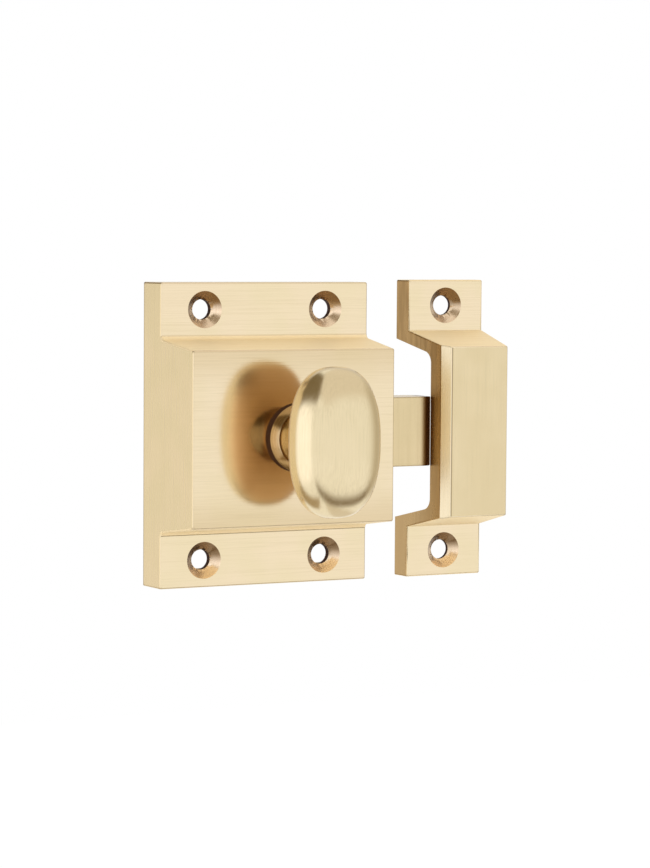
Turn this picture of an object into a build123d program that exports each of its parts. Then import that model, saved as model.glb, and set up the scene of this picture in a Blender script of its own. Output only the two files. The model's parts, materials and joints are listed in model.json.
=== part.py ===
from build123d import *

import math
import os

# Cupboard catch: a knob-worked spring catch for a cupboard door, and its keeper for the frame.
# Millimetres, +Z up, the fronts face -Y. The plane y = 0 is the surface of door and frame,
# and the axis of the knob is x = z = 0. The case's middle lies a little to the left of it.

# Case: a casting, hollow at the back, with a raised box that holds the works.
CASE_W = 46.4           # at the door; the sides lean in towards the front
CASE_H = 60.0
CASE_D = 20.2           # from the back rim to the front of the raised box
SIDE_LEAN = 1.3         # each side leans in by this over the whole depth
CASE_X = -0.8           # the middle of the case, seen from the knob's axis
FLANGE_T = 7.0          # from the back rim to the front of the flange
BOX_ROOT_H = 37.8       # height of the raised box where it leaves the flange
BOX_SLOPE = 1.8         # the box's upper and lower faces lean in by this
WALL = 3.0
ROOT_R = 1.2
EDGE_R = 0.35
HOLE_DX = 26.5
HOLE_DZ = 49.3

# Wood screws go through 4 mm holes, countersunk for a No. 6 head.
SCREW_HOLE_R = 2.0
SCREW_SINK_R = 3.65

# Keeper: a casting of much the same wall, with a pocket for the bolt open to the left and the back.
KEEPER_GAP = 10.2       # between case and keeper, at the door
KEEPER_W = 18.2
KEEPER_H = 60.8
KEEPER_LUG_T = 4.2
KEEPER_LEAN = 1.8
KEEPER_ROOT_H = 40.2
KEEPER_SLOPE = 2.9
KEEPER_ROOM = 0.3       # between the bolt's front and the keeper's front wall
KEEPER_FRONT_WALL = 4.9
KEEPER_SLOPE_WALL = 2.7
KEEPER_END_WALL = 3.0
KEEPER_LEAD = 1.5       # chamfer that the bolt's nose rides up on
KEEPER_CORNER_R = 2.4
KEEPER_HOLE_DZ = 50.4
LUG_WALL = 2.5
LUG_RIM = 2.4

# Bolt: rounded nose, notched around the cam, with a tooth that the cam pushes.
BOLT_H = 14.0
BOLT_T = 7.0
BOLT_INSET = 8.3        # from the front of the box to the front of the bolt
BOLT_BITE = 2.4         # how far the nose stands in the keeper
BOLT_TRAVEL = 7.0
NOSE_L = 9.0
NOSE_R = 2.4
NOSE_BEVEL = 5.2
NOSE_CORNER_R = 1.0
TOOTH_H = 2.7
RAIL_H = 2.5            # what is left of the bolt below its notch
WING_DROP = 1.8         # the stop wing stands this far below the bolt
SLIDE_CLEAR = 0.06      # between the bolt and its guides
STOP_CLEAR = 0.1
NOTCH_CLEAR = 0.5
RIB_DROP = 2.5

# Cam: its flank is an involute, so the bolt moves by CAM_BASE_R for each radian of turn.
CAM_BASE_R = 5.0
CAM_START = 0.1         # the flank's contact at rest, in radians of unrolled arc
CAM_CONTACT = 0.03
CAM_HUB_R = 4.0
CAM_HUB_T = 5.4
CAM_T = 4.0
FLANK_STEPS = 10        # points along the flank
HEEL_GROW = 0.9         # the heel stands this far outside the tip of the flank
HEEL_TURN = 0.19        # and this far past it, in radians
HEEL_BLUNT = 0.6

# Spindle: round in the case, square in the cam.
SPINDLE_R = 3.25
SPINDLE_IN_KNOB = 9.5
SQUARE = 4.5
RUN_CLEAR = 0.05        # round fits that turn
FIT_CLEAR = 0.02        # fits that don't move
BOSS_R = 6.6

# Knob: an upright pebble on a waisted neck and a flat collar.
KNOB_HALF_W = 8.9
KNOB_HALF_D = 6.5
KNOB_HALF_H = 14.45
KNOB_OUTLINE = 2.46     # exponent of the outline, 2 would be an ellipse
KNOB_SECTION = 2.45
KNOB_CUTS = (0.4, 0.68, 0.86, 0.96, 0.997)   # sections of the head, as shares of its half depth
CUT_POINTS = 32         # points around each section
KNOB_REACH = 15.0       # from the front of the box to the middle of the head
COLLAR_R = 6.7
COLLAR_T = 1.05         # its straight side
COLLAR_CONE_T = 1.75    # and the cone in front of it
COLLAR_FRONT_R = 5.65
COLLAR_EDGE = 0.4
NECK_R = 4.4
NECK_FLARE = 0.9        # more radius where the neck meets the collar
HEAD_FLARE = 1.9        # and where it meets the head
HEAD_SINK = 1.6         # the neck runs on into the head by this

# Spring between the left wall and the bolt's tail.
SPRING_R = 2.4
SPRING_WIRE = 0.55
SPRING_TURNS = 7
SPRING_BORE_R = 2.6
SPRING_BORE_DEPTH = 4.8
SPIGOT_R = 1.6
SPIGOT_L = 2.5
SEAT_R = 3.4
SEAT_T = 0.5
TAIL_CLEAR = 0.2        # left between seat and bolt when the bolt is drawn back

# Cover plate over the works, on four posts of the case.
PLATE_T = 1.0
PLATE_GAP = 0.5
PLATE_CORNER_R = 1.5
POST_R = 2.5
POST_INSET_X = 7.7      # from the side of the case to the posts
POST_INSET_Z = 6.6      # from the root of the box to the posts
COVER_SCREW_R = 1.25
COVER_HOLE_R = 1.35
COVER_HEAD_R = 2.2
COVER_HEAD_T = 1.4
COVER_SCREW_L = 5.0
CAM_SCREW_R = 1.5
CAM_SCREW_L = 4.4
CAM_HEAD_R = 2.75
CAM_HEAD_T = 1.8
HEAD_EDGE = 0.3         # chamfer of the screws' heads
SLOT_W = 0.6
TIP_ROOM = 0.5          # a screw hole is this much deeper than its screw
WASHER_T = 0.5

# A cut runs past the surface that it opens by this much.
PAST = 1.0


def half_width(y):
    """Half the case's width at a depth."""
    return CASE_W / 2 + SIDE_LEAN * y / CASE_D


# Values tied to the ones above.
BOX_FRONT_Y = -CASE_D
INNER_FRONT_Y = BOX_FRONT_Y + WALL
POCKET_Y = -FLANGE_T + WALL
BOLT_FRONT_Y = BOX_FRONT_Y + BOLT_INSET
BOLT_BACK_Y = BOLT_FRONT_Y + BOLT_T
BOLT_MID_Y = (BOLT_FRONT_Y + BOLT_BACK_Y) / 2
BOSS_END_Y = BOLT_FRONT_Y - STOP_CLEAR
PLATE_FRONT_Y = BOLT_BACK_Y + STOP_CLEAR
PLATE_BACK_Y = PLATE_FRONT_Y + PLATE_T
KEEPER_X = CASE_X + CASE_W / 2 + KEEPER_GAP
KEEPER_MID_X = KEEPER_X + KEEPER_W / 2
KEEPER_POCKET_Y = BOLT_FRONT_Y - KEEPER_ROOM
KEEPER_D = KEEPER_FRONT_WALL - KEEPER_POCKET_Y
NOSE_X = KEEPER_X + BOLT_BITE
TOOTH_X = -CAM_BASE_R * CAM_START - CAM_CONTACT
NOTCH_LEFT = -CAM_HUB_R - NOTCH_CLEAR
NOTCH_RIGHT = CAM_HUB_R + NOTCH_CLEAR + BOLT_TRAVEL
SEAT_X = CASE_X - half_width(BOLT_MID_Y) + WALL + SEAT_T
TAIL_X = SEAT_X + TAIL_CLEAR + BOLT_TRAVEL
WING_Z = -BOLT_H / 2 - WING_DROP
GUIDE_Z = BOLT_H / 2 + SLIDE_CLEAR
WING_X = NOTCH_LEFT - NOTCH_CLEAR
RIB_END_X = CASE_X + half_width(INNER_FRONT_Y) - WALL / 2
POSTS = [
    (x, z)
    for z in (BOX_ROOT_H / 2 - POST_INSET_Z, -BOX_ROOT_H / 2 + POST_INSET_Z)
    for x in (CASE_X - CASE_W / 2 + POST_INSET_X, CASE_X + CASE_W / 2 - POST_INSET_X)
]
HUB_FRONT_Y = BOLT_FRONT_Y
HUB_BACK_Y = HUB_FRONT_Y + CAM_HUB_T
WASHER_BACK_Y = HUB_BACK_Y + WASHER_T
KNOB_MID_Y = BOX_FRONT_Y - KNOB_REACH


def block(x0, x1, y0, y1, z0, z1):
    """Box between two corners."""
    size = (x1 - x0, y1 - y0, z1 - z0)
    middle = ((x0 + x1) / 2, (y0 + y1) / 2, (z0 + z1) / 2)
    return Pos(*middle) * Box(*size)


def rod_y(radius, y0, y1, x=0.0, z=0.0):
    """Cylinder along Y."""
    return Pos(x, (y0 + y1) / 2, z) * Rot(90, 0, 0) * Cylinder(radius, y1 - y0)


def rod_x(radius, x0, x1, y=0.0, z=0.0):
    """Cylinder along X."""
    return Pos((x0 + x1) / 2, y, z) * Rot(0, 90, 0) * Cylinder(radius, x1 - x0)


def along_x(points, x0, x1):
    """Prism along X from an outline in (y, z)."""
    face = make_face(Polyline(*[(x0, y, z) for y, z in points], close=True))
    return extrude(face, amount=x1 - x0, dir=(1, 0, 0))


def along_z(points, half_h):
    """Prism along Z from an outline in (x, y)."""
    face = make_face(Polyline(*[(x, y, -half_h) for x, y in points], close=True))
    return extrude(face, amount=2 * half_h, dir=(0, 0, 1))


def sink(x, z, front_y, back_y):
    """Countersunk hole for a wood screw, to be cut from the front."""
    cone_l = SCREW_SINK_R - SCREW_HOLE_R
    profile = Polyline(
        (0, front_y - PAST),
        (SCREW_SINK_R, front_y - PAST),
        (SCREW_SINK_R, front_y),
        (SCREW_HOLE_R, front_y + cone_l),
        (SCREW_HOLE_R, back_y),
        (0, back_y),
        close=True,
    )
    return Pos(x, 0, z) * revolve(make_face(profile), Axis.Y)


def edges_at(part, **wanted):
    """Edges whose two ends share the wanted coordinates, whatever their sign."""
    found = []
    for edge in part.edges():
        ends = (edge @ 0, edge @ 1)
        if all(
            abs(abs(getattr(end, name.upper())) - abs(value)) < 1e-3
            for end in ends
            for name, value in wanted.items()
        ):
            found.append(edge)
    return found


def side_edges(part, left_x, right_x):
    """Edges on the two leaning sides, but not at the back. Each side's x is given by a depth."""
    found = []
    for edge in part.edges():
        middle = edge @ 0.5
        on_side = (
            abs(middle.X - left_x(middle.Y)) < 1e-3 or abs(middle.X - right_x(middle.Y)) < 1e-3
        )
        if on_side and middle.Y < -1e-3:
            found.append(edge)
    return found


def cam_outline():
    """Points of the cam's lobe at rest, as (x, z): the involute flank, and the heel."""
    reach = CAM_START + BOLT_TRAVEL / CAM_BASE_R
    flank = []
    for i in range(FLANK_STEPS + 1):
        unrolled = reach * i / FLANK_STEPS
        # Turned so that the point at CAM_START touches the tooth at rest.
        angle = CAM_START - (unrolled - math.atan(unrolled))
        radius = CAM_BASE_R * math.hypot(1, unrolled)
        flank.append((-radius * math.sin(angle), radius * math.cos(angle)))
    heel_angle = CAM_START - (reach - math.atan(reach)) - HEEL_TURN
    heel_r = CAM_BASE_R * math.hypot(1, reach) + HEEL_GROW
    return flank, (-heel_r * math.sin(heel_angle), heel_r * math.cos(heel_angle))


FLANK, HEEL = cam_outline()
CAM_BACK_X = HEEL[0] + HEEL_BLUNT
CAM_STOP_X = CAM_BACK_X + STOP_CLEAR


def case_shell():
    """The casting's outside and hollow, about its own middle."""
    half_w = CASE_W / 2
    half_h = CASE_H / 2
    root = BOX_ROOT_H / 2
    slope = BOX_SLOPE / (CASE_D - FLANGE_T)

    # The side view gives flange, root and box; the top view gives the lean of the sides.
    flange = block(-half_w, half_w, -FLANGE_T, 0, -half_h, half_h)
    box_side = [
        (0, -root), (-FLANGE_T, -root), (BOX_FRONT_Y, -root + BOX_SLOPE),
        (BOX_FRONT_Y, root - BOX_SLOPE), (-FLANGE_T, root), (0, root),
    ]
    body = flange + along_x(box_side, -half_w, half_w)
    body = fillet(edges_at(body, y=-FLANGE_T, z=root), ROOT_R)
    front_w = half_width(BOX_FRONT_Y)
    top_view = [(-half_w, 0), (half_w, 0), (front_w, BOX_FRONT_Y), (-front_w, BOX_FRONT_Y)]
    body = body & along_z(top_view, half_h)
    sharp = side_edges(body, lambda y: -half_width(y), half_width)
    sharp += edges_at(body, y=BOX_FRONT_Y, z=root - BOX_SLOPE)
    sharp += edges_at(body, y=-FLANGE_T, z=half_h)
    body = fillet(sharp, EDGE_R)

    # The hollow keeps the wall everywhere, and takes out all that is behind box and flange.
    back_w = half_w - WALL
    deep_w = half_width(INNER_FRONT_Y) - WALL
    deep_z = root - WALL - slope * (-INNER_FRONT_Y - FLANGE_T)
    hollow = along_x(
        [
            (PAST, -half_h + WALL), (POCKET_Y, -half_h + WALL),
            (POCKET_Y, -root + WALL - slope * WALL), (INNER_FRONT_Y, -deep_z),
            (INNER_FRONT_Y, deep_z), (POCKET_Y, root - WALL + slope * WALL),
            (POCKET_Y, half_h - WALL), (PAST, half_h - WALL),
        ],
        -back_w, back_w,
    )
    hollow = hollow & along_z(
        [(-back_w, PAST), (back_w, PAST), (back_w, 0), (deep_w, INNER_FRONT_Y),
         (-deep_w, INNER_FRONT_Y), (-back_w, 0)],
        half_h,
    )
    body -= hollow
    for x in (-HOLE_DX / 2, HOLE_DX / 2):
        for z in (-HOLE_DZ / 2, HOLE_DZ / 2):
            body -= sink(x, z, -FLANGE_T, 0)
    return body


def case_insides():
    """What stands inside the box: boss, posts, guide ribs, and the spring's seat."""
    inside = rod_y(BOSS_R, INNER_FRONT_Y - PAST, BOSS_END_Y)
    for x, z in POSTS:
        inside += rod_y(POST_R, INNER_FRONT_Y - PAST, PLATE_FRONT_Y, x, z)
    for start, z0 in ((WING_X, -GUIDE_Z - RIB_DROP), (CAM_STOP_X, GUIDE_Z)):
        inside += block(start, RIB_END_X, INNER_FRONT_Y - PAST, PLATE_FRONT_Y, z0, z0 + RIB_DROP)
    inside += rod_x(SEAT_R, SEAT_X - WALL, SEAT_X, BOLT_MID_Y)
    return inside + rod_x(SPIGOT_R, SEAT_X - PAST, SEAT_X + SPIGOT_L, BOLT_MID_Y)


def make_case():
    body = Pos(CASE_X, 0, 0) * case_shell() + case_insides()
    body -= rod_y(SPINDLE_R + RUN_CLEAR, BOX_FRONT_Y - PAST, BOSS_END_Y + PAST)
    body -= block(
        RIB_END_X - WALL, CASE_X + CASE_W / 2 + PAST,
        BOLT_FRONT_Y - SLIDE_CLEAR, BOLT_BACK_Y + SLIDE_CLEAR,
        -GUIDE_Z, GUIDE_Z,
    )
    for x, z in POSTS:
        tip_y = PLATE_BACK_Y - COVER_SCREW_L - TIP_ROOM
        body -= rod_y(COVER_SCREW_R + FIT_CLEAR, tip_y, PLATE_FRONT_Y + PAST, x, z)
    return body


def make_keeper():
    left = KEEPER_X
    right = KEEPER_X + KEEPER_W
    half_h = KEEPER_H / 2
    root = KEEPER_ROOT_H / 2
    front = -KEEPER_D
    lean = KEEPER_LEAN / KEEPER_D
    slope = KEEPER_SLOPE / (KEEPER_D - KEEPER_LUG_T)

    side_view = [
        (0, -half_h), (-KEEPER_LUG_T, -half_h), (-KEEPER_LUG_T, -root), (front, -root + KEEPER_SLOPE),
        (front, root - KEEPER_SLOPE), (-KEEPER_LUG_T, root), (-KEEPER_LUG_T, half_h), (0, half_h),
    ]
    lead_x = left + KEEPER_LEAN
    top_view = [
        (left, 0), (right, 0), (right - KEEPER_LEAN, front), (lead_x + KEEPER_LEAD, front),
        (lead_x - lean * KEEPER_LEAD, front + KEEPER_LEAD),
    ]
    body = along_x(side_view, left, right) & along_z(top_view, half_h)
    sharp = side_edges(body, lambda y: left - lean * y, lambda y: right + lean * y)
    sharp += edges_at(body, y=-KEEPER_LUG_T, z=half_h)
    sharp += edges_at(body, y=front, z=root - KEEPER_SLOPE)
    body = fillet(sharp, EDGE_R)

    # Pocket for the bolt, with its inner corners rounded.
    back_z = root - KEEPER_SLOPE_WALL + slope * KEEPER_LUG_T
    front_z = back_z + slope * KEEPER_POCKET_Y
    pocket = along_x(
        [
            (PAST, -back_z - slope * PAST), (KEEPER_POCKET_Y, -front_z),
            (KEEPER_POCKET_Y, front_z), (PAST, back_z + slope * PAST),
        ],
        left - PAST, right - KEEPER_END_WALL,
    )
    corners = [e for e in edges_at(pocket, y=KEEPER_POCKET_Y) if abs((e @ 0).X - (e @ 1).X) > PAST]
    body -= fillet(corners, KEEPER_CORNER_R)

    # Shallow hollows behind the two lugs.
    for side in (-1, 1):
        ends = sorted((side * (back_z + LUG_RIM), side * (half_h - LUG_RIM)))
        body -= block(left + LUG_RIM, right - LUG_RIM, -KEEPER_LUG_T + LUG_WALL, PAST, *ends)
        body -= sink(KEEPER_MID_X, side * KEEPER_HOLE_DZ / 2, -KEEPER_LUG_T, 0)
    return body


def make_bolt():
    half_h = BOLT_H / 2
    nose_start = NOSE_X - NOSE_L
    bar = block(TAIL_X, nose_start, BOLT_FRONT_Y, BOLT_BACK_Y, -half_h, half_h)

    # The nose: a round on the front edge and a long curved bevel behind.
    mid_y = BOLT_FRONT_Y + NOSE_R
    bevel_x = NOSE_X - NOSE_BEVEL
    outline = Line((nose_start, BOLT_FRONT_Y), (NOSE_X - NOSE_R, BOLT_FRONT_Y))
    outline += CenterArc((NOSE_X - NOSE_R, mid_y), NOSE_R, -90, 90)
    outline += TangentArc((NOSE_X, mid_y), (bevel_x, BOLT_BACK_Y), tangent=(0, 1))
    outline += Polyline((bevel_x, BOLT_BACK_Y), (nose_start, BOLT_BACK_Y), (nose_start, BOLT_FRONT_Y))
    nose = Pos(0, 0, -half_h) * extrude(make_face(outline), amount=BOLT_H, dir=(0, 0, 1))
    face_view = block(nose_start, NOSE_X, BOLT_FRONT_Y, BOLT_BACK_Y, -half_h, half_h)
    bar += nose & fillet(edges_at(face_view, x=NOSE_X, z=half_h), NOSE_CORNER_R)

    bar -= block(
        NOTCH_LEFT, NOTCH_RIGHT, BOLT_FRONT_Y - PAST, BOLT_BACK_Y + PAST, -half_h + RAIL_H, half_h + PAST
    )
    bar += block(
        NOTCH_LEFT - PAST, TOOTH_X, BOLT_FRONT_Y, BOLT_BACK_Y, half_h - TOOTH_H, half_h
    )
    bar += block(
        TAIL_X, WING_X - STOP_CLEAR, BOLT_FRONT_Y, BOLT_BACK_Y, WING_Z, -half_h + PAST
    )
    return bar - rod_x(SPRING_BORE_R, TAIL_X - PAST, TAIL_X + SPRING_BORE_DEPTH, BOLT_MID_Y)


def make_cam():
    lobe_back_y = (HUB_FRONT_Y + HUB_BACK_Y + CAM_T) / 2
    start_x, start_z = FLANK[0]
    rest = Polyline(
        FLANK[-1],
        HEEL,
        (CAM_BACK_X, HEEL[1] - HEEL_BLUNT),
        (CAM_BACK_X, CAM_BASE_R),
        (CAM_HUB_R - HEEL_BLUNT, 0),
        (0, 0),
        (start_x / 2, start_z / 2),
        (start_x, start_z),
    )
    # Drawn in x and y, then stood up so that y becomes z.
    lobe = extrude(make_face(Spline(*FLANK) + rest), amount=CAM_T, dir=(0, 0, 1))
    hub = rod_y(CAM_HUB_R, HUB_FRONT_Y, HUB_BACK_Y)
    half = SQUARE / 2 + FIT_CLEAR
    hole = block(-half, half, HUB_FRONT_Y - PAST, HUB_BACK_Y + PAST, -half, half)
    return hub + Pos(0, lobe_back_y, 0) * Rot(90, 0, 0) * lobe - hole


def make_spindle():
    start = BOX_FRONT_Y - SPINDLE_IN_KNOB
    half = SQUARE / 2
    body = rod_y(SPINDLE_R, start, HUB_FRONT_Y)
    body += block(-half, half, HUB_FRONT_Y, HUB_BACK_Y - STOP_CLEAR, -half, half)
    body -= rod_y(CAM_SCREW_R + FIT_CLEAR, WASHER_BACK_Y - CAM_SCREW_L - TIP_ROOM, HUB_BACK_Y)
    return chamfer(edges_at(body, y=start), COLLAR_EDGE)


def pebble_section(share):
    """Outline of the knob's head at one depth; share runs from -1 (front) to 1 (back)."""
    scale = (1 - abs(share) ** KNOB_SECTION) ** (1 / KNOB_SECTION)
    points = []
    for i in range(CUT_POINTS):
        turn = 2 * math.pi * i / CUT_POINTS
        c, s = math.cos(turn), math.sin(turn)
        x = KNOB_HALF_W * scale * math.copysign(abs(c) ** (2 / KNOB_OUTLINE), c)
        z = KNOB_HALF_H * scale * math.copysign(abs(s) ** (2 / KNOB_OUTLINE), s)
        points.append((x, KNOB_MID_Y + KNOB_HALF_D * share, z))
    return make_face(Spline(*points, periodic=True))


def make_knob():
    shares = [-share for share in reversed(KNOB_CUTS)] + [0, *KNOB_CUTS]
    head = loft([pebble_section(share) for share in shares])

    cone_y = BOX_FRONT_Y - COLLAR_T
    neck_y = cone_y - COLLAR_CONE_T
    head_y = KNOB_MID_Y + KNOB_HALF_D - HEAD_SINK
    neck = ThreePointArc(
        (NECK_R + HEAD_FLARE, head_y),
        (NECK_R, (neck_y + head_y + HEAD_SINK) / 2),
        (NECK_R + NECK_FLARE, neck_y),
    )
    rest = Polyline(
        (NECK_R + NECK_FLARE, neck_y),
        (COLLAR_FRONT_R, neck_y),
        (COLLAR_R, cone_y),
        (COLLAR_R, BOX_FRONT_Y),
        (0, BOX_FRONT_Y),
        (0, head_y),
        (NECK_R + HEAD_FLARE, head_y),
    )
    knob = head + revolve(make_face(neck + rest), Axis.Y)
    return knob - rod_y(SPINDLE_R + FIT_CLEAR, BOX_FRONT_Y - SPINDLE_IN_KNOB, BOX_FRONT_Y + PAST)


def make_spring():
    start = SEAT_X + SPRING_WIRE / 2
    end = TAIL_X + SPRING_BORE_DEPTH - SPRING_WIRE / 2
    mean_r = SPRING_R - SPRING_WIRE / 2
    length = end - start
    path = Pos(start, BOLT_MID_Y, 0) * Rot(0, 90, 0) * Helix(length / SPRING_TURNS, length, mean_r)
    section = Plane(origin=path @ 0, z_dir=path % 0) * RegularPolygon(SPRING_WIRE / 2, 6)
    return sweep(section, path=path, is_frenet=True)


def make_cover():
    half_x = half_width(PLATE_FRONT_Y) - WALL - PLATE_GAP
    half_z = BOX_ROOT_H / 2 - WALL - 2 * PLATE_GAP
    plate = block(CASE_X - half_x, CASE_X + half_x, PLATE_FRONT_Y, PLATE_BACK_Y, -half_z, half_z)
    plate = fillet(plate.edges().filter_by(Axis.Y), PLATE_CORNER_R)
    plate -= rod_y(CAM_HEAD_R + RUN_CLEAR, PLATE_FRONT_Y - PAST, PLATE_BACK_Y + PAST)
    for x, z in POSTS:
        plate -= rod_y(COVER_HOLE_R, PLATE_FRONT_Y - PAST, PLATE_BACK_Y + PAST, x, z)
    return plate


def make_screw(x, z, under_y, radius, length, head_r, head_t):
    """Slotted screw driven from the back; under_y is the underside of its head."""
    screw = rod_y(radius, under_y - length, under_y, x, z)
    head = rod_y(head_r, under_y, under_y + head_t, x, z)
    head = chamfer(edges_at(head, y=under_y + head_t), HEAD_EDGE)
    top_y = under_y + head_t
    slot = block(x - head_r, x + head_r, top_y - head_t / 2, top_y + PAST, z - SLOT_W / 2, z + SLOT_W / 2)
    return screw + head - slot


def make_washer():
    ring = rod_y(CAM_HUB_R, HUB_BACK_Y, WASHER_BACK_Y)
    return ring - rod_y(CAM_SCREW_R + RUN_CLEAR, HUB_BACK_Y - PAST, WASHER_BACK_Y + PAST)


pieces = {
    "case": make_case(),
    "keeper": make_keeper(),
    "bolt": make_bolt(),
    "bolt_spring": make_spring(),
    "knob": make_knob(),
    "spindle": make_spindle(),
    "cam": make_cam(),
    "cam_washer": make_washer(),
    "cam_screw": make_screw(0, 0, WASHER_BACK_Y, CAM_SCREW_R, CAM_SCREW_L, CAM_HEAD_R, CAM_HEAD_T),
    "cover_plate": make_cover(),
}
screw_names = ("upper_left", "upper_right", "lower_left", "lower_right")
for name, (x, z) in zip(screw_names, POSTS):
    pieces[f"cover_screw_{name}"] = make_screw(
        x, z, PLATE_BACK_Y, COVER_SCREW_R, COVER_SCREW_L, COVER_HEAD_R, COVER_HEAD_T
    )

os.makedirs("parts", exist_ok=True)
for name, piece in pieces.items():
    export_step(piece, f"parts/{name}.step")
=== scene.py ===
import json
import math

import bpy
from mathutils import Matrix, Vector


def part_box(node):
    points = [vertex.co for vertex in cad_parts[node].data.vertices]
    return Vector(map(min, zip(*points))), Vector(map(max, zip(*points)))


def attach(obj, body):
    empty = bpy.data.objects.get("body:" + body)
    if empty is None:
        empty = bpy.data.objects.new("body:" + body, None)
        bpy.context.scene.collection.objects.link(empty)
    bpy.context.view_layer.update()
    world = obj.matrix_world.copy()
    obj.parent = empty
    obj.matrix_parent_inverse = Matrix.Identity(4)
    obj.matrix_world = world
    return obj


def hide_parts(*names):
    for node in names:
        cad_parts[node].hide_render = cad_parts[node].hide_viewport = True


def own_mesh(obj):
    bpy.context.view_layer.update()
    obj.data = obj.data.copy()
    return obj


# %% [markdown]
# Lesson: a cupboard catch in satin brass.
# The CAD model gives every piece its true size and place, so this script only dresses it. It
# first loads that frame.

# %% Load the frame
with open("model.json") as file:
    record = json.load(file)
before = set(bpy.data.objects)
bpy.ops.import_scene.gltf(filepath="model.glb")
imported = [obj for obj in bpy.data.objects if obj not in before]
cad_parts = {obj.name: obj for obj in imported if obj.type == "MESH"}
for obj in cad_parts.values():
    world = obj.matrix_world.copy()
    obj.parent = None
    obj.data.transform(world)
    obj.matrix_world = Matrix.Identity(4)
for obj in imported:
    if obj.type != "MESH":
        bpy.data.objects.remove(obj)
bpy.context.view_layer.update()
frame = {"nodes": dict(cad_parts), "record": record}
nodes = frame["nodes"]
MM = 0.001

# %% [markdown]
# The camera stands where the photographer stood: to the left of the catch and a little above it.
# It could be placed by eye, but the corners of the flange and of the raised box have known sizes,
# so distance and angles were worked out from them. The long lens keeps edges nearly parallel.

# %% Camera
CAMERA_AT = Vector((-0.2581, -0.5282, 0.0382))
CAMERA_YAW = math.radians(27.445)      # turned towards +X
CAMERA_PITCH = math.radians(3.759)     # looking down
CAMERA_ROLL = math.radians(0.389)
CAMERA_LENS = 121.83                   # millimetres, for the long side of the film
CAMERA_FILM = 36.0
CAMERA_NEAREST = 0.01
CAMERA_FARTHEST = 20.0

camera_data = bpy.data.cameras.new("camera")
camera_data.lens = CAMERA_LENS
camera_data.sensor_width = CAMERA_FILM
camera_data.clip_start = CAMERA_NEAREST
camera_data.clip_end = CAMERA_FARTHEST
camera = bpy.data.objects.new("camera", camera_data)
bpy.context.scene.collection.objects.link(camera)
turn = (
    Matrix.Rotation(-CAMERA_YAW, 4, "Z")
    @ Matrix.Rotation(math.pi / 2 - CAMERA_PITCH, 4, "X")
    @ Matrix.Rotation(CAMERA_ROLL, 4, "Z")
)
camera.matrix_world = Matrix.Translation(CAMERA_AT) @ turn
bpy.context.scene.camera = camera
print("camera", round(CAMERA_AT.length, 3), "m from the catch")

# %% [markdown]
# Operators act on all that is selected, and the CAD nodes are selected after loading. So the two
# helpers below come before any modelling. The third one starts a material.


# %% Helpers for selecting, and for a new material
def deselect_all():
    bpy.ops.object.select_all(action="DESELECT")


def select_only(thing):
    deselect_all()
    thing.select_set(True)
    bpy.context.view_layer.objects.active = thing


def new_material(name):
    """A material, its node tree, and the Principled shader that it starts with."""
    material = bpy.data.materials.new(name)
    material.use_nodes = True
    return material, material.node_tree, material.node_tree.nodes["Principled BSDF"]


print("helpers are ready")

# %% [markdown]
# Each finish below is a small graph of nodes. Adding and linking them one by one is long to read,
# so a few short words do it: noise, ramp, mix and place. A ramp is a soft step from one value to
# another, and place gives the point on the object, stretched along the axes.

# %% Words for building a material's graph
NOISE_MIDDLE = (0.3, 0.7)              # nearly all of a noise lies between these


class Graph:
    def __init__(self, tree):
        self.tree = tree

    def node(self, kind, **settings):
        made = self.tree.nodes.new(kind)
        for key, value in settings.items():
            setattr(made, key, value)
        return made

    def feed(self, value, socket):
        if isinstance(value, bpy.types.NodeSocket):
            self.tree.links.new(value, socket)
        else:
            socket.default_value = value

    def math(self, operation, a, b=0.0):
        made = self.node("ShaderNodeMath", operation=operation)
        self.feed(a, made.inputs[0])
        self.feed(b, made.inputs[1])
        return made.outputs[0]

    def ramp(self, value, low, high, at_low=0.0, at_high=1.0):
        """A soft step: at_low up to low, at_high from high on."""
        made = self.node("ShaderNodeMapRange", interpolation_type="SMOOTHSTEP")
        self.feed(value, made.inputs["Value"])
        made.inputs["From Min"].default_value = low
        made.inputs["From Max"].default_value = high
        made.inputs["To Min"].default_value = at_low
        made.inputs["To Max"].default_value = at_high
        return made.outputs["Result"]

    def vary(self, value, noise, less, more):
        """The value, times less where the noise is low and times more where it is high."""
        return self.ramp(noise, *NOISE_MIDDLE, value * less, value * more)

    def mix(self, share, a, b, blend="MIX"):
        made = self.node("ShaderNodeMix", data_type="RGBA", blend_type=blend)
        self.feed(share, made.inputs["Factor"])
        self.feed(a, made.inputs[6])
        self.feed(b, made.inputs[7])
        return made.outputs[2]

    def noise(self, vector, detail=2.0, rough=0.5):
        made = self.node("ShaderNodeTexNoise")
        self.feed(vector, made.inputs["Vector"])
        made.inputs["Scale"].default_value = 1.0
        made.inputs["Detail"].default_value = detail
        made.inputs["Roughness"].default_value = rough
        return made.outputs["Fac"]

    def place(self, scale=(1, 1, 1)):
        """The point on the object, stretched."""
        where = self.node("ShaderNodeTexCoord").outputs["Object"]
        made = self.node("ShaderNodeMapping")
        self.feed(where, made.inputs["Vector"])
        made.inputs["Scale"].default_value = scale
        return made.outputs["Vector"]

    def along(self, axis):
        """The point's place along one axis, in metres."""
        made = self.node("ShaderNodeSeparateXYZ")
        self.feed(self.place(), made.inputs["Vector"])
        return made.outputs[axis]

    def bump(self, height, strength, depth, shader):
        made = self.node("ShaderNodeBump")
        made.inputs["Strength"].default_value = strength
        made.inputs["Distance"].default_value = depth
        self.feed(height, made.inputs["Height"])
        self.feed(made.outputs["Normal"], shader.inputs["Normal"])


print("words:", [word for word in vars(Graph) if not word.startswith("_")])

# %% [markdown]
# Metal shows nothing but what stands around it. In a plain white room satin brass comes out at
# just the colour that is written, so the world is white at strength 1, which is also the
# photograph's white ground. The catch belongs on a door, so the pale floor lies well below it.

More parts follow.
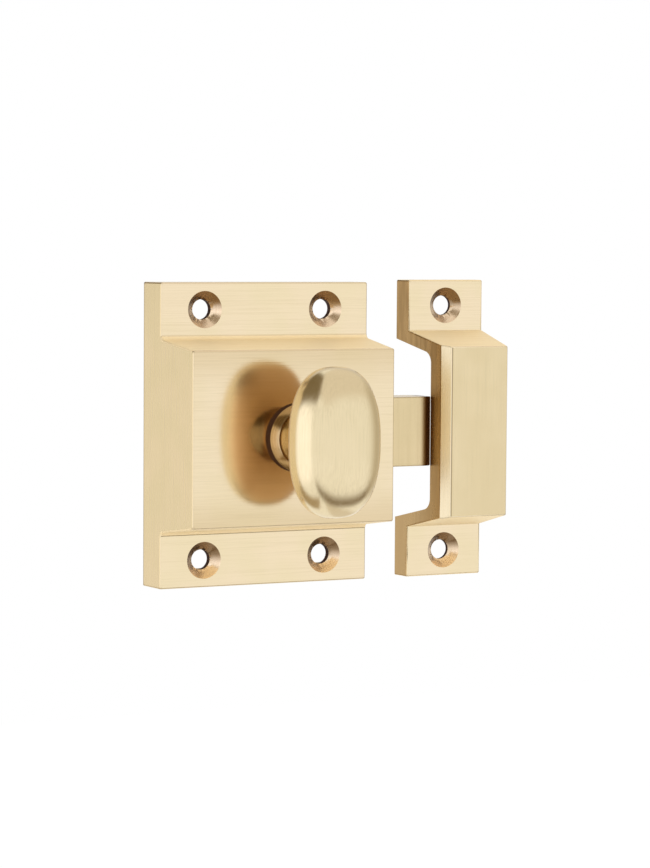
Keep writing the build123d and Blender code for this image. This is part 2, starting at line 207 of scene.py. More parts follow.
# %% White room and floor
FLOOR_Z = -0.5
FLOOR_SIZE = 5.0
FLOOR_WHITE = 0.9
FLOOR_GLOW = 0.12                      # lifts the floor to the white of the room
WHITE = (1, 1, 1, 1)

world = bpy.data.worlds.new("white_room")
bpy.context.scene.world = world
world.use_nodes = True
world.node_tree.nodes["Background"].inputs["Color"].default_value = WHITE
world.node_tree.nodes["Background"].inputs["Strength"].default_value = 1.0

deselect_all()
bpy.ops.mesh.primitive_plane_add(size=FLOOR_SIZE, location=(0, 0, FLOOR_Z))
floor = bpy.context.object
floor.name = "floor"
paper, _, paper_shader = new_material("white_paper")
paper_shader.inputs["Base Color"].default_value = (FLOOR_WHITE, FLOOR_WHITE, FLOOR_WHITE, 1)
paper_shader.inputs["Roughness"].default_value = 0.9
paper_shader.inputs["Specular IOR Level"].default_value = 0.0
paper_shader.inputs["Emission Color"].default_value = WHITE
paper_shader.inputs["Emission Strength"].default_value = FLOOR_GLOW
floor.data.materials.append(paper)
print("floor", FLOOR_SIZE, "m wide at", FLOOR_Z, "m")

# %% [markdown]
# In an all-white room the roundings would be lost. A photographer puts warm grey cards round
# the piece, just outside the picture, and their reflections draw the form. A card with sharp
# sides gives a reflection with a hard edge, so these fade out softly. They are hidden from the
# camera and cast no shadow, and the directions were read off the knob in the photograph.

# %% Paper of the cards
HALF = 0.5                             # a card's plane reaches this far from its middle


def card_paper(name, color, fade):
    """Paper that glows evenly and fades away over these shares of its width and height."""
    material, tree, shader = new_material(name)
    g = Graph(tree)
    cover = None
    for axis, share in zip(("X", "Y"), fade):
        off_middle = g.math("ABSOLUTE", g.along(axis))
        inside = g.ramp(off_middle, HALF - share / 2, HALF, 1.0, 0.0)
        cover = inside if cover is None else g.math("MULTIPLY", cover, inside)
    glow = g.node("ShaderNodeEmission")
    glow.inputs["Color"].default_value = (*color, 1)
    both = g.node("ShaderNodeMixShader")
    g.feed(cover, both.inputs["Fac"])
    g.feed(g.node("ShaderNodeBsdfTransparent").outputs["BSDF"], both.inputs[1])
    g.feed(glow.outputs["Emission"], both.inputs[2])
    tree.nodes.remove(shader)
    g.feed(both.outputs["Shader"], tree.nodes["Material Output"].inputs["Surface"])
    return material


print("a card's plane is", 2 * HALF, "wide before it is stretched")

# %% Cards around the catch
CARD_DISTANCE = 0.48


def stand_card(name, azimuth, elevation, width, height, color, fade, roll=0):
    """A card in that direction from the catch. Azimuth runs from the front to the right.

    All angles are in degrees, and so are width and height, as seen from the catch.
    """
    az, el = math.radians(azimuth), math.radians(elevation)
    out = Vector((math.sin(az) * math.cos(el), -math.cos(az) * math.cos(el), math.sin(el)))
    size_x = 2 * CARD_DISTANCE * math.tan(math.radians(width) / 2)
    size_y = 2 * CARD_DISTANCE * math.tan(math.radians(height) / 2)
    deselect_all()
    bpy.ops.mesh.primitive_plane_add(size=2 * HALF)
    card = bpy.context.object
    card.name = name
    card.matrix_world = (
        Matrix.Translation(out * CARD_DISTANCE)
        @ out.to_track_quat("Z", "Y").to_matrix().to_4x4()
        @ Matrix.Rotation(math.radians(roll), 4, "Z")
        @ Matrix.Diagonal((size_x, size_y, 1, 1))
    )
    card.data.materials.append(card_paper(name, color, fade))
    card.visible_camera = False
    card.visible_diffuse = False
    card.visible_shadow = False


stand_card("card_upper_left", -120, 50, 126, 70, (0.21, 0.16, 0.09), (0.3, 0.4), roll=22)
stand_card("card_lower_left", -112, -55, 104, 40, (0.43, 0.33, 0.20), (0.4, 0.6), roll=-38)
stand_card("card_front_foot", 32, -47, 134, 32, (0.22, 0.165, 0.100), (0.3, 0.9), roll=14)
stand_card("card_low_right", 60, -70, 110, 30, (0.78, 0.73, 0.66), (0.5, 0.5))
stand_card("card_overhead", 52, 60, 126, 84, (0.84, 0.79, 0.73), (0.3, 0.3), roll=-14)
stand_card("card_behind", 150, 30, 90, 56, (0.74, 0.70, 0.66), (0.5, 0.5))
stand_card("card_right", 94, 0, 84, 80, (0.58, 0.52, 0.42), (0.9, 0.8))
stand_card("card_left_bright", -94, -4, 84, 58, (1.30, 1.30, 1.36), (0.35, 0.35))
print("eight cards stand at", CARD_DISTANCE, "m")

# %% [markdown]
# Satin brass is polished and then drawn over a fine belt, which leaves hair lines all in one
# direction. They could be a picture, but a noise that is stretched along one axis does the same
# at any size. It tints the metal a little, roughens it and tilts it. The outer edges get a painted
# shade that makes them a little darker. An ambient-occlusion node that looks inwards finds them on
# any piece.

# %% Recipe for satin brass
LINES_ALONG = 60.0                     # noise cells per metre along the hair lines
LINES_ACROSS = 4500.0                  # and across them
LINES_BUMP = 0.12
LINES_DEPTH = 0.02 * MM
LINES_STEP = (0.40, 0.75)
LINES_TINT = (0.86, 0.84, 0.80, 1)
CLOUDS = 90.0                          # cells per metre of the slow change between two tints
CLOUDS_STEP = (0.35, 0.65)
PAINTED_SHADE_TINT = (0.89, 0.86, 0.79, 1)
EDGE_PAINTED_SHADE = (0.34, 0.25, 0.14, 1)
EDGE_REACH = 0.6 * MM
EDGE_STEP = (0.45, 0.85)
EDGE_SAMPLES = 8


def satin_brass(
    name, color, tint, along, roughness,
    edge=0.6, lines_share=0.4, shade=None, bump=LINES_BUMP, metal=1.0,
):
    """Brushed brass in two tints. shade paints shade on it, darker from one distance off the middle
    to another.
    """
    material, tree, shader = new_material(name)
    g = Graph(tree)
    stretch = {
        "X": (LINES_ALONG, LINES_ACROSS, LINES_ACROSS),
        "Z": (LINES_ACROSS, LINES_ACROSS, LINES_ALONG),
    }[along]
    lines = g.noise(g.place(stretch), detail=3.0, rough=0.6)
    clouds = g.noise(g.place((CLOUDS, CLOUDS, CLOUDS)))
    brass = g.mix(g.ramp(clouds, *CLOUDS_STEP), (*color, 1), (*tint, 1))
    dark_lines = g.mix(1.0, brass, LINES_TINT, "MULTIPLY")
    brass = g.mix(g.ramp(lines, *LINES_STEP, 0.0, lines_share), brass, dark_lines)
    # painted shade: darker away from the middle, up and down
    if shade:
        off_middle = g.math("ABSOLUTE", g.along("Z"))
        shaded = g.mix(1.0, brass, PAINTED_SHADE_TINT, "MULTIPLY")
        brass = g.mix(g.ramp(off_middle, *shade), brass, shaded)
    # painted shade: the outer edges are darkened
    if edge:
        look = g.node(
            "ShaderNodeAmbientOcclusion", inside=True, only_local=True, samples=EDGE_SAMPLES
        )
        look.inputs["Distance"].default_value = EDGE_REACH
        brass = g.mix(g.ramp(look.outputs["AO"], *EDGE_STEP, edge, 0.0), brass, EDGE_PAINTED_SHADE)
    g.feed(brass, shader.inputs["Base Color"])
    shader.inputs["Metallic"].default_value = metal
    g.feed(g.vary(roughness, lines, 0.85, 1.2), shader.inputs["Roughness"])
    g.bump(lines, bump, LINES_DEPTH, shader)
    return material


print("hair lines are", LINES_ACROSS / LINES_ALONG, "times as long as they are wide")

# %% [markdown]
# The fronts are brushed across, the sides and the keeper upright, and the box's face is polished
# most, so that the knob shows in it. The slopes are reached by the belt only at an angle. They
# stay dull, and a share that isn't metal keeps the countersinks from showing in them. The colours
# are also set face by face, so they hold painted light and shade: the sides and the keeper's
# raised face are darker, and the slopes and the chamfer lighter.

# %% Satin brasses
FACE_PAINTED_SHADE = (9 * MM, 17 * MM)         # painted shade: the face darkens between these heights, up and down

# painted light and shade: each colour also holds the light that falls on its faces
brass_front = satin_brass("brass_front", (0.875, 0.740, 0.490), (0.900, 0.750, 0.520), "X", 0.14)
brass_face = satin_brass(
    "brass_face", (0.870, 0.730, 0.490), (0.890, 0.745, 0.520), "X", 0.11,
    edge=0.9, shade=FACE_PAINTED_SHADE, bump=0.25,
)
brass_side_shaded = satin_brass(
    "brass_side_shaded", (0.770, 0.610, 0.360), (0.740, 0.595, 0.340), "Z", 0.24,
    edge=1.0, lines_share=0.16,
)
brass_slope_lit = satin_brass(
    "brass_slope_lit", (0.975, 0.800, 0.495), (0.980, 0.810, 0.510), "X", 0.6,
    edge=0.9, metal=0.5,
)
brass_chamfer_lit = satin_brass(
    "brass_chamfer_lit", (0.935, 0.800, 0.560), (0.910, 0.780, 0.535), "Z", 0.2, edge=0.9
)
brass_upright_shaded = satin_brass(
    "brass_upright_shaded", (0.800, 0.665, 0.420), (0.770, 0.635, 0.390), "Z", 0.2
)
brass_bar = satin_brass(
    "brass_bar", (0.770, 0.620, 0.375), (0.740, 0.600, 0.355), "Z", 0.22, edge=0.9
)
print("satin brasses", [m.name for m in bpy.data.materials if m.name.startswith("brass")])

# %% [markdown]
# The belt can't reach everywhere. The turned collar and neck, the countersinks and the keeper's
# mouth keep a browner skin with the marks of the tool that cut them. It is the same recipe with
# other colours: rings where a tool turned, plain clouds elsewhere. The collar's side and the bores
# of the holes get a near black, matt skin that is no metal: painted shade for these recesses.

# %% Bronze skins
MATT_SPECULAR = 0.1
METAL_SPECULAR = 0.5
RINGS = (200, 3500, 200)
UPRIGHT_CLOUDS = (900, 900, 120)


def bronze_skin(name, color, tint, roughness, scale, metal=1.0):
    material, tree, shader = new_material(name)
    g = Graph(tree)
    marks = g.noise(g.place(scale))
    skin = g.mix(g.ramp(marks, *NOISE_MIDDLE), (*color, 1), (*tint, 1))
    g.feed(skin, shader.inputs["Base Color"])
    shader.inputs["Metallic"].default_value = metal
    shader.inputs["Specular IOR Level"].default_value = METAL_SPECULAR if metal else MATT_SPECULAR
    g.feed(g.vary(roughness, marks, 0.85, 1.15), shader.inputs["Roughness"])
    return material


bronze_sink = bronze_skin(
    "bronze_sink", (0.97, 0.78, 0.56), (0.94, 0.74, 0.52), 0.25, RINGS, metal=0.85
)
bronze_cone = bronze_skin("bronze_cone", (0.50, 0.35, 0.18), (0.56, 0.40, 0.22), 0.2, RINGS)
bronze_neck = bronze_skin("bronze_neck", (0.50, 0.33, 0.135), (0.56, 0.38, 0.17), 0.22, RINGS)
# painted shade: near black for the collar's side and the holes' bores
bronze_dark = bronze_skin(
    "bronze_dark", (0.045, 0.014, 0.004), (0.070, 0.026, 0.009), 0.7, RINGS, metal=0.0
)
bronze_end = bronze_skin(
    "bronze_end", (0.43, 0.27, 0.110), (0.37, 0.23, 0.092), 0.3, UPRIGHT_CLOUDS
)
print("bronze skins", [m.name for m in bpy.data.materials if m.name.startswith("bronze")])

# %% [markdown]
# Brass and bronze meet without a border. A second colour is laid over the first by a share that
# comes from a place on the piece. So the countersinks get painted shade in their upper half, where
# light from above doesn't reach, the tip of the bolt gets painted shade from the keeper with a
# little dirt, and the keeper's mouth gets painted light at its foot.


# %% A second colour by place
def blend(material, share, color):
    """Lays another colour over the material's own, as far as share says."""
    socket = material.node_tree.nodes["Principled BSDF"].inputs["Base Color"]
    g = Graph(material.node_tree)
    g.feed(g.mix(share, socket.links[0].from_socket, (*color, 1)), socket)


def share_along(material, axis, start, full):
    """A share that grows from 0 to 1 between two places along an axis."""
    g = Graph(material.node_tree)
    return g.ramp(g.along(axis), start, full)


SINK_Z = 24.9 * MM         # the case's holes lie at 24.65 mm, the keeper's at 25.2 mm
SINK_SHADE_START = -1.2 * MM
SINK_SHADE_FULL = 1.6 * MM
BAR_DIRT_AND_SHADE_START = 31.8 * MM
BAR_DIRT_AND_SHADE_FULL = 33.2 * MM
MOUTH_LIGHT_START = 8 * MM
MOUTH_LIGHT_FULL = -14 * MM

# painted shade: each countersink is darker in its upper half
g = Graph(bronze_sink.node_tree)
sink_z = g.math("MULTIPLY", g.math("SIGN", g.along("Z")), SINK_Z)
height = g.math("SUBTRACT", g.along("Z"), sink_z)
blend(bronze_sink, g.ramp(height, SINK_SHADE_START, SINK_SHADE_FULL), (0.26, 0.165, 0.085))
# painted shade with a little dirt: the bolt's tip darkens where it goes in under the keeper
brown = share_along(brass_bar, "X", BAR_DIRT_AND_SHADE_START, BAR_DIRT_AND_SHADE_FULL)
blend(brass_bar, brown, (0.11, 0.050, 0.016))
# painted light: the keeper's mouth is lighter towards its foot
mouth_light = share_along(bronze_end, "Z", MOUTH_LIGHT_START, MOUTH_LIGHT_FULL)
blend(bronze_end, mouth_light, (0.50, 0.335, 0.152))
print("countersinks, bolt and the keeper's mouth shade off")

# %% [markdown]
# The backs of the castings were never machined. Their skin has a fine grain all over, which a
# noise gives as colour and as bump.

# %% Cast skin of the hollow backs
GRAIN = 1600.0
GRAIN_BUMP = 0.5
GRAIN_DEPTH = 0.1 * MM
CAST_DARK = (0.50, 0.37, 0.20, 1)
CAST_LIGHT = (0.68, 0.53, 0.31, 1)

cast, cast_tree, cast_shader = new_material("cast_skin")
g = Graph(cast_tree)
grain = g.noise(g.place((GRAIN, GRAIN, GRAIN)), detail=4.0, rough=0.6)
cast_color = g.mix(g.ramp(grain, *CLOUDS_STEP), CAST_DARK, CAST_LIGHT)
g.feed(cast_color, cast_shader.inputs["Base Color"])
cast_shader.inputs["Metallic"].default_value = 1.0
cast_shader.inputs["Roughness"].default_value = 0.5
g.bump(grain, GRAIN_BUMP, GRAIN_DEPTH, cast_shader)
print("cast skin has", GRAIN, "grains to the metre")

# %% [markdown]
# The case, the keeper and the bolt already have their true shape in the CAD model, so they could
# stay as they are. But their mesh is loose triangles, and each facet of a rounding would show. So
# copies are merged into whole surfaces, and flat faces become single faces again. The CAD nodes
# themselves are never touched.

# %% Helper that copies a CAD mesh and merges it
MERGE_WITHIN = 0.0005 * MM
FLAT_ANGLE = math.radians(0.4)
print("points within", round(MERGE_WITHIN / MM, 4), "mm become one")


def merged_copy(node_name, piece_name, flatten=True):
    piece = bpy.data.objects.new(piece_name, nodes[node_name].data.copy())
    bpy.context.scene.collection.objects.link(piece)
    piece.data.materials.clear()
    select_only(piece)
    bpy.ops.object.mode_set(mode="EDIT")
    bpy.ops.mesh.select_all(action="SELECT")
    bpy.ops.mesh.remove_doubles(threshold=MERGE_WITHIN)
    if flatten:
        bpy.ops.mesh.dissolve_limited(angle_limit=FLAT_ANGLE)
    bpy.ops.object.mode_set(mode="OBJECT")
    print(piece_name, len(piece.data.polygons), "faces after merging")
    return piece


# %% [markdown]
# Only true edges may stay sharp. The roundings are shaded smooth, and weighted normals keep the
# flat faces flat right up to them.

# %% Helpers that smooth roundings and keep flat faces flat
SMOOTH_ANGLE = math.radians(40)
FLAT_AREA = 12 * MM * MM   # a facet of a rounding is smaller
PLANE_STEP = 4.0           # millimetres; planes within a hundredth of this are taken as one

print("edges under", round(math.degrees(SMOOTH_ANGLE)), "degrees are shaded smooth")


def smooth_roundings(piece):
    select_only(piece)
    bpy.ops.object.mode_set(mode="EDIT")
    bpy.ops.mesh.select_all(action="SELECT")
    bpy.ops.mesh.faces_shade_smooth()
    bpy.ops.mesh.select_mode(type="EDGE")
    bpy.ops.mesh.select_all(action="DESELECT")
    bpy.ops.mesh.edges_select_sharp(sharpness=SMOOTH_ANGLE)
    bpy.ops.mesh.mark_sharp()
    bpy.ops.mesh.select_mode(type="FACE")
    bpy.ops.mesh.select_all(action="DESELECT")
    bpy.ops.object.mode_set(mode="OBJECT")


def select_flat_faces(piece):
    """Selects the faces of every plane that is too large to be a facet of a rounding."""
    planes = {}
    for face in piece.data.polygons:
        depth = face.center.dot(face.normal) / MM
        plane = tuple(round(value, 2) for value in (*face.normal, depth / PLANE_STEP))
        planes.setdefault(plane, []).append(face)
    large = [faces for faces in planes.values() if sum(f.area for f in faces) > FLAT_AREA]
    for faces in large:
        for face in faces:
            face.select = True
    return sum(len(faces) for faces in large)


def keep_flats_flat(piece):
    flat = select_flat_faces(piece)
    bpy.ops.object.mode_set(mode="EDIT")
    bpy.ops.mesh.mod_weighted_strength(set=True, face_strength="STRONG")
    bpy.ops.object.mode_set(mode="OBJECT")
    weighted = piece.modifiers.new("flat_faces_stay_flat", "WEIGHTED_NORMAL")
    weighted.mode = "FACE_AREA"
    weighted.keep_sharp = True
    weighted.use_face_influence = True
    bpy.ops.object.modifier_apply(modifier=weighted.name)
    print(piece.name, "has", flat, "flat faces")


# %% [markdown]
# Each face gets its finish by where it lies and which way it looks. The places of the holes come
# from the record's mounts, and the depths of the steps are those of the CAD model.

# %% Helpers that choose a finish
mounts = {m["name"]: m for m in frame["record"]["mounts"]}
SINK_R = 3.70 * MM
NEAR = 0.05 * MM
ROUNDED = 0.4 * MM         # a front's roundings lie no deeper than this behind it
STRAIGHT = 0.9             # how far a normal goes along an axis, for a face that looks that way
MOSTLY = 0.7               # for one that looks more that way than any other
ASLANT = 0.3               # and for one that only leans that way


def dress(piece, finishes, choose):
    """Gives each face one of the finishes; choose(middle, normal) says which by its name."""
    names = list(finishes)
    for material in finishes.values():
        piece.data.materials.append(material)
    for face in piece.data.polygons:
        face.material_index = names.index(choose(face.center, face.normal))


def hole_finish(middle, normal, holes, front_y):
    """sink or bore inside one of a mount's countersunk holes, and None anywhere else."""
    spacing = holes["dims"]
    off_x = abs(middle.x - holes["pos_m"][0]) - spacing.get("spacing_x_mm", 0.0) * MM / 2
    off_z = abs(middle.z) - spacing["spacing_y_mm"] * MM / 2
    inside = math.hypot(off_x, off_z) < SINK_R and middle.y > front_y + NEAR
    if not inside or normal.y >= ASLANT:
        return None
    return "sink" if normal.y < -ASLANT else "bore"


print("mounts", list(mounts))

# %% [markdown]
# The case is a hollow casting: a flange with four countersunk holes, and a raised box that holds
# the works. It takes seven finishes. The face of the box is the most polished one, and the inside
# keeps its cast skin.

# %% Case
case_low, case_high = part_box("case")
print("case from", round(case_low.x / MM, 1), "to", round(case_high.x / MM, 1), "mm")
CASE_MID_X = mounts["case_screws"]["pos_m"][0]
FLANGE_Y = -7.0 * MM
CASE_SIDE_X = 21.6 * MM    # the outer sides lie farther than this from the middle
FLANGE_END_Z = 29.0 * MM   # and so do the flange's ends
HOLLOW_X = 20.4 * MM       # the hollow back reaches this far from the middle
HOLLOW_Z = 27.1 * MM
WORKS_Z = 16.0 * MM        # and inside the box this far
SLOPE_LEAN = 0.1
FACE_RIM = 0.5 * MM


def case_finish(middle, normal):
    hole = hole_finish(middle, normal, mounts["case_screws"], FLANGE_Y)
    if hole:
        return hole
    off_x = abs(middle.x - CASE_MID_X)
    off_z = abs(middle.z)
    if normal.y < -STRAIGHT and middle.y < case_low.y + ROUNDED:
        return "face"
    if normal.y < -STRAIGHT and abs(middle.y - FLANGE_Y) < ROUNDED:
        return "front"
    outside = (
        off_x > CASE_SIDE_X and normal.x * (middle.x - CASE_MID_X) > 0
        or normal.z * middle.z > 0 and (off_z > FLANGE_END_Z or middle.y < FLANGE_Y)
        or normal.y < -ASLANT and middle.y < case_low.y + ROUNDED
    )
    if not outside and off_z < HOLLOW_Z and off_x < HOLLOW_X:
        if middle.y > FLANGE_Y - 2 * NEAR or off_z < WORKS_Z:
            return "cast"
    if abs(normal.z) > SLOPE_LEAN and case_low.y + FACE_RIM < middle.y < FLANGE_Y - NEAR:
        return "slope"
    return "side" if abs(normal.x) > MOSTLY else "front"


case_shell = merged_copy("case", "case_shell")
smooth_roundings(case_shell)
keep_flats_flat(case_shell)
dress(
    case_shell,
    {"front": brass_front, "face": brass_face, "side": brass_side_shaded, "slope": brass_slope_lit,
     "sink": bronze_sink, "bore": bronze_dark, "cast": cast},
    case_finish,
)
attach(case_shell, "case_body")
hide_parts("case")

# %% [markdown]
# The keeper is screwed to the frame of the cupboard, and the bolt snaps in behind it. Its raised
# part is brushed upright, its mouth towards the case stays brown, and a chamfer leads the bolt in.

# %% Keeper
keeper_low, keeper_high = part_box("keeper")
print("keeper from", round(keeper_low.x / MM, 1), "to", round(keeper_high.x / MM, 1), "mm")
LUG_Y = -4.2 * MM
CHAMFER_DEPTH = 2.2 * MM
CHAMFER_LEAN = 0.6
DEAD_FLAT = 0.99
BACK_RIM_Y = -1.0 * MM


def keeper_finish(middle, normal):
    hole = hole_finish(middle, normal, mounts["keeper_screws"], LUG_Y)
    if hole:
        return hole
    if normal.y < -CHAMFER_LEAN and middle.y < keeper_low.y + CHAMFER_DEPTH:
        return "upright" if normal.y < -DEAD_FLAT else "chamfer"
    if normal.y < -STRAIGHT and abs(middle.y - LUG_Y) < ROUNDED:
        return "front"
    if normal.y > STRAIGHT and middle.y < BACK_RIM_Y:
        return "cast"
    if normal.x < -MOSTLY:
        return "end"
    return "side" if normal.x > MOSTLY else "slope"


keeper_shell = merged_copy("keeper", "keeper_shell")
smooth_roundings(keeper_shell)
keep_flats_flat(keeper_shell)
dress(
    keeper_shell,
    {"front": brass_front, "side": brass_side_shaded, "slope": brass_slope_lit, "upright": brass_upright_shaded,
     "chamfer": brass_chamfer_lit, "end": bronze_end, "sink": bronze_sink, "bore": bronze_dark,
     "cast": cast},
    keeper_finish,
)
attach(keeper_shell, "case_body")
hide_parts("keeper")

# %% [markdown]
# Where the chamfer meets the raised face, a thin dark line of painted shade is laid. The edge is
# too blunt for the inward look to find, so the line is laid at the place of the edge, which is
# measured on the finished piece.

# %% Line beside the chamfer
LINE_WIDTH = 0.4 * MM

line_x = min(
    keeper_shell.data.vertices[i].co.x
    for face in keeper_shell.data.polygons
    if keeper_shell.data.materials[face.material_index] == brass_upright_shaded
    for i in face.vertices
)
# painted shade: a thin dark line beside the chamfer
line = share_along(brass_upright_shaded, "X", line_x + LINE_WIDTH, line_x)
blend(brass_upright_shaded, line, (0.30, 0.22, 0.12))
print("line beside the chamfer at", round(line_x / MM, 2), "mm")

# %% [markdown]
# The bolt is a plain bar with a rounded and bevelled nose. The belt ran upright over it before it
# was put in, so one finish covers it, with the darker tip laid over it above, which is painted
# shade from the keeper with a little dirt.

# %% Bolt
bolt_bar = merged_copy("bolt", "bolt_bar")
smooth_roundings(bolt_bar)
keep_flats_flat(bolt_bar)
bolt_bar.data.materials.append(brass_bar)
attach(bolt_bar, "bolt_body")
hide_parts("bolt")

# %% [markdown]
# The knob's head is an upright pebble: an oval whose sides are flatter than an ellipse's. It
# could be sculpted, but a cube that is subdivided and made a sphere is already even all round.
# Each of its points is then moved out to a formula for such a form. Its half sizes are those of
# the CAD head, so it fills the same space.

# %% Head of the knob
knob_low, knob_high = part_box("knob")
HEAD_HALF_DEPTH = 6.5 * MM
HEAD_HALF = Vector((knob_high.x, HEAD_HALF_DEPTH, knob_high.z))
HEAD_MID = Vector((0, knob_low.y + HEAD_HALF_DEPTH, 0))
OUTLINE_POWER = 2.46       # 2 would be an ellipse
SECTION_POWER = 2.45
HEAD_CUTS = 23

deselect_all()
bpy.ops.mesh.primitive_cube_add(size=2)
head = bpy.context.object
head.name = "knob_turned"
bpy.ops.object.mode_set(mode="EDIT")
bpy.ops.mesh.select_all(action="SELECT")
bpy.ops.mesh.subdivide(number_cuts=HEAD_CUTS)
bpy.ops.transform.tosphere(value=1.0)
bpy.ops.object.mode_set(mode="OBJECT")


def pebble_reach(ray):
    """How far the pebble's skin is from its middle along a direction."""
    face = abs(ray.x / HEAD_HALF.x) ** OUTLINE_POWER + abs(ray.z / HEAD_HALF.z) ** OUTLINE_POWER
    whole = face ** (SECTION_POWER / OUTLINE_POWER) + abs(ray.y / HEAD_HALF.y) ** SECTION_POWER
    return whole ** (-1 / SECTION_POWER)


for vertex in head.data.vertices:
    ray = Vector(a * b for a, b in zip(vertex.co, HEAD_HALF)).normalized()
    vertex.co = HEAD_MID + ray * pebble_reach(ray)
print("head in mm", [round(x / MM, 2) for x in head.dimensions])

# %% [markdown]
# The head is brushed upright in front. Behind, where the belt can't pass between head and case,
# it keeps the brown of the neck, which also stands as painted shade between head and case, and
# the case's polished face shows that brown as a dark oval to the left of the knob. So one material
# blends from brass to bronze with depth, and gets rougher on the way. The neck turns darker
# halfway between collar and head, as painted shade under the head.

# %% Skin of head and neck
BACK_SKIN_AND_SHADE_START = -34.6 * MM
BACK_SKIN_AND_SHADE_FULL = -31.0 * MM
BACK_ROUGH = 0.35
THROAT_SHADE_START = -25.6 * MM
THROAT_SHADE_FULL = -27.0 * MM

knob_skin = satin_brass(
    "knob_skin", (0.845, 0.715, 0.470), (0.820, 0.695, 0.450), "Z", 0.22, edge=0.0
)
# unbrushed skin and painted shade: the head's back turns brown towards the case
behind = share_along(knob_skin, "Y", BACK_SKIN_AND_SHADE_START, BACK_SKIN_AND_SHADE_FULL)
blend(knob_skin, behind, (0.68, 0.46, 0.25))
g = Graph(knob_skin.node_tree)
rough_socket = knob_skin.node_tree.nodes["Principled BSDF"].inputs["Roughness"]
rough = g.math("ADD", rough_socket.links[0].from_socket, g.math("MULTIPLY", behind, BACK_ROUGH))
g.feed(rough, rough_socket)
# painted shade: the neck darkens under the head
throat_shade = share_along(bronze_neck, "Y", THROAT_SHADE_START, THROAT_SHADE_FULL)
blend(bronze_neck, throat_shade, (0.26, 0.165, 0.07))
head.data.materials.append(knob_skin)
print("head turns bronze between", round(BACK_SKIN_AND_SHADE_START / MM, 1), "and", round(BACK_SKIN_AND_SHADE_FULL / MM, 1), "mm")

# %% [markdown]
# Neck and collar were turned on a lathe. Blender's lathe is spin: half the outline is drawn once
# and swept round the axis. It could be stacked from cylinders and cones, but only an outline
# gives the neck's waist.

# %% Outline of neck and collar
FACE_Y = case_low.y
COLLAR_R = 6.7 * MM
COLLAR_T = 1.05 * MM
CONE_T = 1.75 * MM
CONE_R = 5.65 * MM
NECK_R = 4.4 * MM
NECK_FLARE = 0.9 * MM
HEAD_FLARE = 1.9 * MM
HEAD_SINK = 1.6 * MM
NECK_STEPS = 10

cone_y = FACE_Y - COLLAR_T
neck_y = cone_y - CONE_T
head_y = HEAD_MID.y + HEAD_HALF.y - HEAD_SINK
outline = [(0, FACE_Y), (COLLAR_R, FACE_Y), (COLLAR_R, cone_y), (CONE_R, neck_y)]
for step in range(NECK_STEPS + 1):
    share = step / NECK_STEPS
    waist = (1 - share) ** 3 * NECK_FLARE + share ** 3 * HEAD_FLARE
    outline.append((NECK_R + waist, neck_y + (head_y - neck_y) * share))
outline.append((0, head_y))
print("outline has", len(outline), "points")

# %% Spin it round the axis of the knob
SPIN_STEPS = 96
SPIN_MERGE = 0.001 * MM    # closes the seam and the two poles

neck_mesh = bpy.data.meshes.new("neck")
runs = [(i, i + 1) for i in range(len(outline) - 1)]
neck_mesh.from_pydata([(r, y, 0) for r, y in outline], runs, [])
neck = bpy.data.objects.new("neck", neck_mesh)
bpy.context.scene.collection.objects.link(neck)
select_only(neck)
bpy.ops.object.mode_set(mode="EDIT")
bpy.ops.mesh.select_all(action="SELECT")
bpy.ops.mesh.spin(steps=SPIN_STEPS, angle=math.tau, center=(0, 0, 0), axis=(0, 1, 0))
bpy.ops.mesh.select_all(action="SELECT")
bpy.ops.mesh.remove_doubles(threshold=SPIN_MERGE)
bpy.ops.mesh.normals_make_consistent(inside=False)
bpy.ops.object.mode_set(mode="OBJECT")
for skin in (bronze_neck, bronze_cone, bronze_dark):
    neck.data.materials.append(skin)
for face in neck.data.polygons:
    at_collar = face.center.y > neck_y + NEAR
    face.material_index = (2 if face.center.y > cone_y else 1) if at_collar else 0
print("neck", len(neck.data.polygons), "faces")

# %% [markdown]
# Head and neck are one piece of brass, so the two meshes are joined. The neck runs on a little
# way into the head, which leaves no gap at the rounded back. Only the collar's corners are sharp.

# %% Join head and neck
KNOB_SMOOTH_ANGLE = math.radians(35)

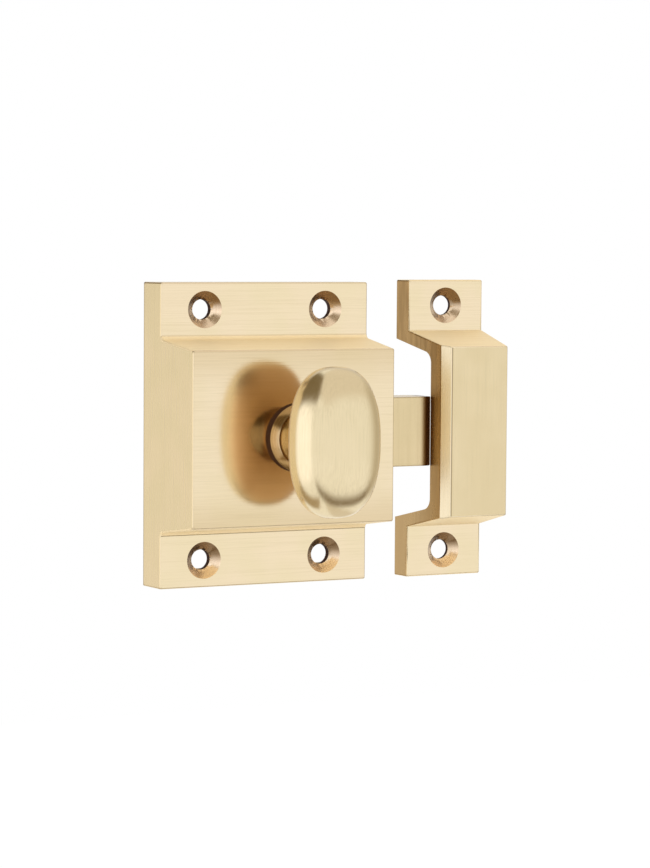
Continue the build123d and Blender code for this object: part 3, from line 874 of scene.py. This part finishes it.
deselect_all()
neck.select_set(True)
head.select_set(True)
bpy.context.view_layer.objects.active = head
bpy.ops.object.join()
bpy.ops.object.shade_smooth_by_angle(angle=KNOB_SMOOTH_ANGLE)
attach(head, "knob_body")
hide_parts("knob")
print("knob", len(head.data.polygons), "faces")

# %% [markdown]
# The works behind the cover plate are steel: turned, drawn as wire, or zinc plated and
# yellowed. They keep their CAD meshes, because they are small and flat, and only get a finish.


# %% Steel of the works
def steel(name, color, other, roughness, scale):
    material, tree, shader = new_material(name)
    g = Graph(tree)
    clouds = g.noise(g.place(scale), detail=3.0)
    skin = g.mix(g.ramp(clouds, *CLOUDS_STEP), (*color, 1), (*other, 1))
    g.feed(skin, shader.inputs["Base Color"])
    g.feed(g.vary(roughness, clouds, 0.8, 1.2), shader.inputs["Roughness"])
    shader.inputs["Metallic"].default_value = 1.0
    return material


machined = steel("machined_steel", (0.50, 0.49, 0.48), (0.60, 0.59, 0.57), 0.3, (900, 3000, 900))
plated = steel("plated_steel", (0.66, 0.58, 0.40), (0.74, 0.66, 0.48), 0.28, (500, 500, 2500))
works = {name: machined for name in ("spindle", "cam", "cam_washer", "cam_screw")}
works["cover_plate"] = plated
for corner in ("upper_left", "upper_right", "lower_left", "lower_right"):
    works["cover_screw_" + corner] = plated
for name, material in works.items():
    nodes[name].data.materials.clear()
    nodes[name].data.materials.append(material)
print(len(works), "pieces of the works are dressed")

# %% [markdown]
# The spring can't stay a CAD node, because it has to shorten as the bolt goes in. A piece can be
# flattened towards a point while a joint moves, so a copy of the wire stands for it.

# %% Spring that the bolt presses
WIRE_SMOOTH_ANGLE = math.radians(70)

coil = merged_copy("bolt_spring", "spring_coil", flatten=False)
bpy.ops.object.shade_smooth_by_angle(angle=WIRE_SMOOTH_ANGLE)
coil.data.materials.append(
    steel("spring_wire", (0.55, 0.55, 0.56), (0.42, 0.42, 0.43), 0.22, (4000, 1500, 1500))
)
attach(coil, "case_body")
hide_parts("bolt_spring")
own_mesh(coil)

# %% [markdown]
# Standard shows each colour as it is written.

# %% View
bpy.context.scene.view_settings.view_transform = "Standard"
